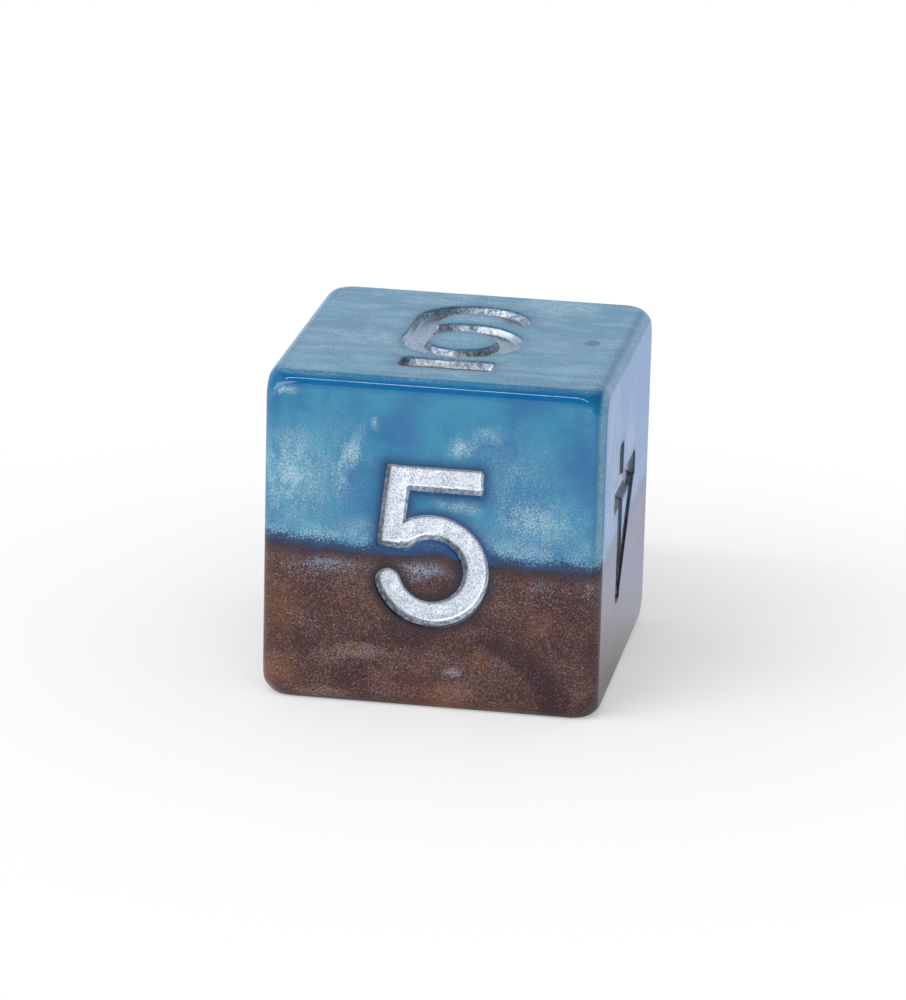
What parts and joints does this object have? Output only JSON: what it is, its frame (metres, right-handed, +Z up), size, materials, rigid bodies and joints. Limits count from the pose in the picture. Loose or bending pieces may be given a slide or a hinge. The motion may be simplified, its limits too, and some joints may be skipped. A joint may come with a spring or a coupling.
{
  "type": "polyhedral die",
  "caption": "Rounded six-sided gaming die in layered blue and copper-brown resin, with sunk silver-painted numerals.",
  "frame": {"origin": "centre of the bottom face, the one that carries the 1, on which the die rests", "axes": "+Z up through the face with the 6, -Y out through the face with the 5, +X out through the face with the 4"},
  "size_m": [0.016, 0.016, 0.016],
  "materials": {
    "blue_resin": "polished translucent resin with pale blue mica clouds",
    "copper_resin": "polished dark brown resin with copper mica",
    "silver_paint": "metallic silver paint, finely granular"
  },
  "bodies": {
    "root": {"blue_resin_layer": "blue_resin", "copper_resin_layer": "copper_resin", "numeral_1_paint": "silver_paint", "numeral_2_paint": "silver_paint", "numeral_3_paint": "silver_paint", "numeral_4_paint": "silver_paint", "numeral_5_paint": "silver_paint", "numeral_6_paint": "silver_paint", "six_underline_paint": "silver_paint"}
  },
  "joints": []
}
